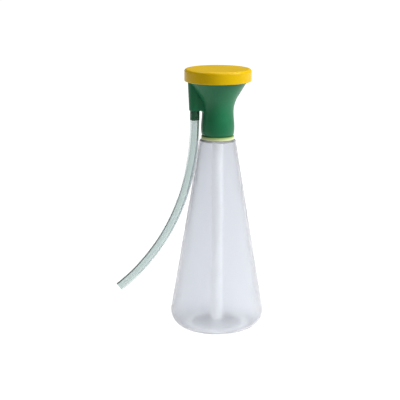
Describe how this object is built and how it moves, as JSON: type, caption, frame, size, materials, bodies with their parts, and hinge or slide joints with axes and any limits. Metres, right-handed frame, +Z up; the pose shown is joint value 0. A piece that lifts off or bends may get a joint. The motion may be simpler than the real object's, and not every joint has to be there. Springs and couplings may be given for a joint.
{
  "type": "eyewash bottle",
  "caption": "Cone-shaped translucent squeeze bottle with a screw-on eye cup, spray nozzle on a dip tube, push-on lid and a flexible drain hose for rinsing an eye.",
  "frame": {"origin": "centre of the ring the bottle stands on, at ground level on the bottle's axis", "axes": "+Z up along the bottle's axis; the drain duct and hose leave towards -X, turned 14 degrees towards -Y"},
  "size_m": [0.1368, 0.0872, 0.2425],
  "materials": {
    "bottle_ldpe": "frosted translucent",
    "cup_green": "semi-gloss",
    "lid_yellow": "semi-gloss",
    "seal_yellow": "satin",
    "nozzle_green": "semi-gloss",
    "tube_white": "satin",
    "hose_clear": "clear flexible"
  },
  "bodies": {
    "bottle": {"bottle": "bottle_ldpe"},
    "seal": {"seal_ring": "seal_yellow"},
    "cup": {"eye_cup": "cup_green", "spray_nozzle": "nozzle_green", "dip_tube": "tube_white", "drain_hose": "hose_clear"},
    "lid": {"lid": "lid_yellow"}
  },
  "joints": [
    {"name": "collar_rise", "type": "slide", "parent": "bottle", "child": "seal", "axis": [0, 0, 1], "range_m": [0, 0.00477]},
    {"name": "collar_turn", "type": "hinge", "parent": "seal", "child": "cup", "pos_m": [0, 0, 0.19], "axis": [0, 0, 1], "range_deg": [0, 540]},
    {"name": "lid_lift", "type": "slide", "parent": "cup", "child": "lid", "axis": [0, 0, 1], "range_m": [0, 0.03]}
  ],
  "couplings": [
    {"joint": "collar_rise", "follows": "collar_turn", "m_per_rad": 0.00050532}
  ]
}
